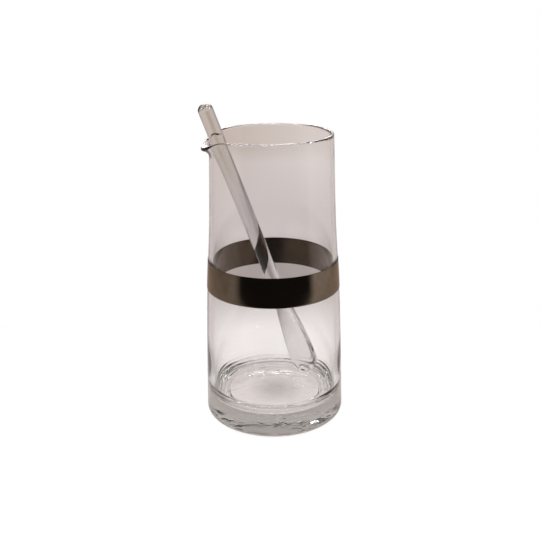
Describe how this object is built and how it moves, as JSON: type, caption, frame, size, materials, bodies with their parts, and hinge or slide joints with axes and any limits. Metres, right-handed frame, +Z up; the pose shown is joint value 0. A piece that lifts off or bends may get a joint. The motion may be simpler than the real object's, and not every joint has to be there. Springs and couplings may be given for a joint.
{
  "type": "cocktail pitcher",
  "caption": "Tall tapered glass pitcher with a thick base, a pinched pouring lip, a silver band round its middle and a loose glass stirring rod leaning in the lip.",
  "frame": {"origin": "centre of the foot ring on the plane that the pitcher stands on", "axes": "+Z up along the body's own axis, -X out through the middle of the pouring lip, so the XZ plane halves the lip"},
  "size_m": [0.103, 0.1026, 0.2334],
  "materials": {
    "clear_glass": "polished clear glass with a faint warm tint",
    "aged_silver": "thin silver band, mirror-bright and darkened with age",
    "rod_glass": "fire-polished clear glass"
  },
  "bodies": {
    "pitcher": {"glass_body": "clear_glass", "silver_band": "aged_silver"},
    "stirrer": {"stirring_rod": "rod_glass"}
  },
  "joints": [
    {"name": "stirrer_lift", "type": "slide", "parent": "pitcher", "child": "stirrer", "axis": [-0.1979, -0.0636, 0.9782], "range_m": [0, 0.21]}
  ]
}
